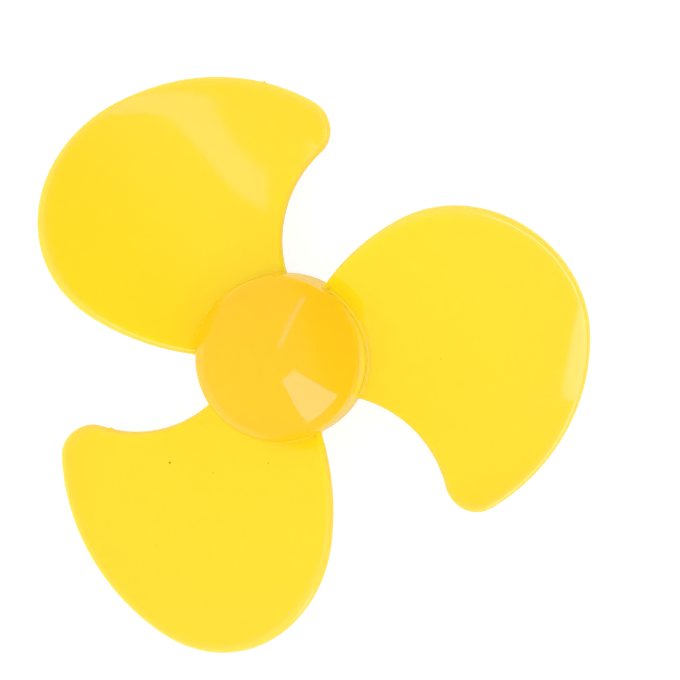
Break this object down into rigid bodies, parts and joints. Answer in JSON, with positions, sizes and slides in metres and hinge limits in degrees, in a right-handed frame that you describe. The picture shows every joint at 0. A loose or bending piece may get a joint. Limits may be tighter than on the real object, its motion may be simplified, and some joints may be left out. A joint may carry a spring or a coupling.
{
  "type": "motor fan blade",
  "caption": "Small press-on propeller fan for a hobby-size motor: hooked curved blades round a domed cup hub with a bored central boss, moulded in one piece.",
  "frame": {"origin": "on the spin axis, at the centre of the flat free end of the boss", "axes": "+Z along the spin axis, out through the domed nose; +X along the centre line of the first blade; the part rests on the end of its boss"},
  "size_m": [0.0513, 0.0516, 0.0127],
  "materials": {
    "yellow_plastic": "glossy injection-moulded plastic, slightly translucent"
  },
  "bodies": {
    "root": {"fan_blade": "yellow_plastic"}
  },
  "joints": []
}
